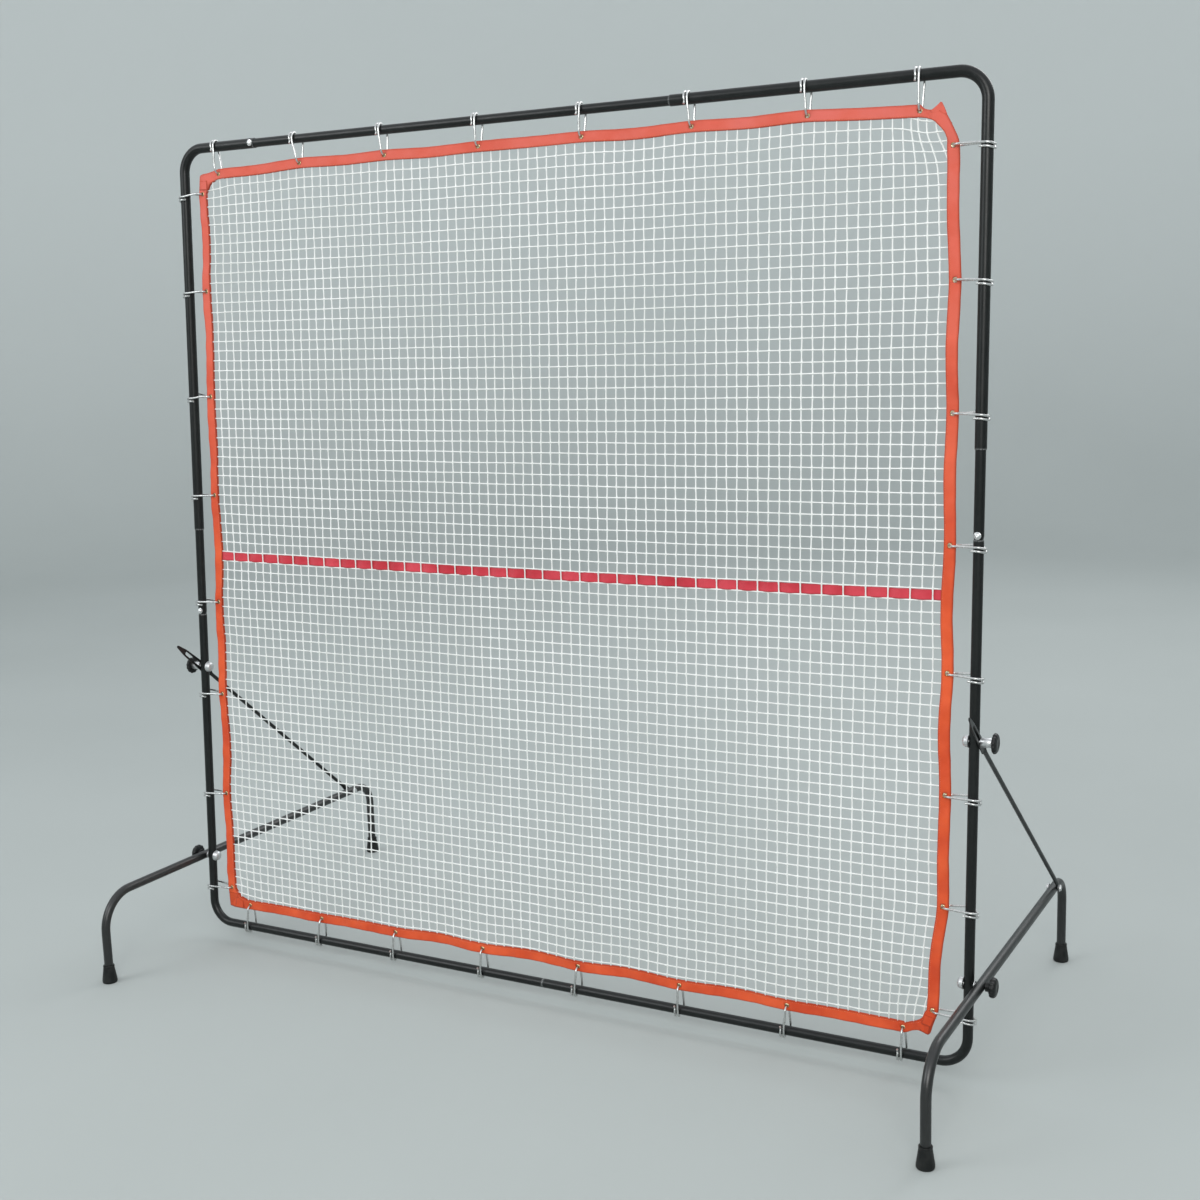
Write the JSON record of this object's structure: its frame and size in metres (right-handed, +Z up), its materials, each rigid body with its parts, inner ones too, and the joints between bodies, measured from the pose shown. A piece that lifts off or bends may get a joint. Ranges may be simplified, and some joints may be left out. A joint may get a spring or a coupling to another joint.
{
  "type": "tennis rebound net",
  "caption": "Free-standing square tube frame holding a taut string net by wire rings, on two bent-tube legs, with slotted braces that set its tilt.",
  "frame": {"origin": "centre of the overall box in plan, at the floor that the four feet stand on", "axes": "+X along the net towards its right end as the player sees it, +Y away from the player, +Z up"},
  "size_m": [2.2226, 1.163, 2.1171],
  "materials": {
    "painted_tube": "black powder coat, satin",
    "bright_steel": "bright zinc plate, lightly dulled",
    "foot_rubber": "moulded, matt",
    "knob_plastic": "moulded, fine texture",
    "net_string": "twisted off-white twine",
    "border_webbing": "woven orange-red tape, stitched",
    "ribbon_webbing": "woven crimson ribbon"
  },
  "bodies": {
    "left_leg": {"left_leg_tube": "painted_tube", "left_front_foot": "foot_rubber", "left_rear_foot": "foot_rubber", "left_brace_bolt": "bright_steel"},
    "frame": {"top_left_corner_tube": "painted_tube", "top_right_corner_tube": "painted_tube", "bottom_left_corner_tube": "painted_tube", "bottom_right_corner_tube": "painted_tube", "top_middle_tube": "painted_tube", "left_middle_tube": "painted_tube", "right_middle_tube": "painted_tube", "left_pivot_bolt": "bright_steel", "right_pivot_bolt": "bright_steel", "left_tilt_bolt": "bright_steel", "right_tilt_bolt": "bright_steel", "net": "net_string", "border_tape": "border_webbing", "centre_ribbon": "ribbon_webbing", "ring_left_1": "bright_steel", "ring_left_2": "bright_steel", "ring_left_3": "bright_steel", "ring_left_4": "bright_steel", "ring_left_5": "bright_steel", "ring_left_6": "bright_steel", "ring_left_7": "bright_steel", "ring_left_8": "bright_steel", "ring_right_1": "bright_steel", "ring_right_2": "bright_steel", "ring_right_3": "bright_steel", "ring_right_4": "bright_steel", "ring_right_5": "bright_steel", "ring_right_6": "bright_steel", "ring_right_7": "bright_steel", "ring_right_8": "bright_steel", "ring_top_1": "bright_steel", "ring_top_2": "bright_steel", "ring_top_3": "bright_steel", "ring_top_4": "bright_steel", "ring_top_5": "bright_steel", "ring_top_6": "bright_steel", "ring_top_7": "bright_steel", "ring_top_8": "bright_steel", "ring_bottom_1": "bright_steel", "ring_bottom_2": "bright_steel", "ring_bottom_3": "bright_steel", "ring_bottom_4": "bright_steel", "ring_bottom_5": "bright_steel", "ring_bottom_6": "bright_steel", "ring_bottom_7": "bright_steel", "ring_bottom_8": "bright_steel"},
    "right_leg": {"right_leg_tube": "painted_tube", "right_front_foot": "foot_rubber", "right_rear_foot": "foot_rubber", "right_brace_bolt": "bright_steel"},
    "left_brace": {"left_brace": "painted_tube"},
    "right_brace": {"right_brace": "painted_tube"},
    "left_pivot_knob": {"left_pivot_knob": "knob_plastic"},
    "right_pivot_knob": {"right_pivot_knob": "knob_plastic"},
    "left_tilt_knob": {"left_tilt_knob": "knob_plastic"},
    "right_tilt_knob": {"right_tilt_knob": "knob_plastic"}
  },
  "joints": [
    {"name": "frame_tilt", "type": "hinge", "parent": "left_leg", "child": "frame", "pos_m": [-1.05, -0.1825, 0.224], "axis": [-1, 0, 0], "range_deg": [-10, 2]},
    {"name": "right_leg_level", "type": "hinge", "parent": "frame", "child": "right_leg", "pos_m": [1.05, -0.1825, 0.224], "axis": [-1, 0, 0], "range_deg": [-2, 10]},
    {"name": "left_brace_swing", "type": "hinge", "parent": "left_leg", "child": "left_brace", "pos_m": [-1.0625, 0.4725, 0.224], "axis": [-1, 0, 0], "range_deg": [-4, 1]},
    {"name": "right_brace_swing", "type": "hinge", "parent": "right_leg", "child": "right_brace", "pos_m": [1.0625, 0.4725, 0.224], "axis": [-1, 0, 0], "range_deg": [-4, 1]},
    {"name": "left_pivot_knob_turn", "type": "hinge", "parent": "frame", "child": "left_pivot_knob", "pos_m": [-1.0963, -0.1825, 0.224], "axis": [-1, 0, 0], "range_deg": [0, 720]},
    {"name": "right_pivot_knob_turn", "type": "hinge", "parent": "frame", "child": "right_pivot_knob", "pos_m": [1.0963, -0.1825, 0.224], "axis": [1, 0, 0], "range_deg": [0, 720]},
    {"name": "left_tilt_knob_turn", "type": "hinge", "parent": "frame", "child": "left_tilt_knob", "pos_m": [-1.084, -0.15827, 0.74744], "axis": [-1, 0, 0], "range_deg": [0, 720]},
    {"name": "right_tilt_knob_turn", "type": "hinge", "parent": "frame", "child": "right_tilt_knob", "pos_m": [1.084, -0.15827, 0.74744], "axis": [1, 0, 0], "range_deg": [0, 720]}
  ],
  "couplings": [
    {"joint": "right_leg_level", "follows": "frame_tilt", "ratio": -1},
    {"joint": "left_brace_swing", "follows": "frame_tilt", "ratio": 0.39235},
    {"joint": "right_brace_swing", "follows": "frame_tilt", "ratio": 0.39235}
  ]
}
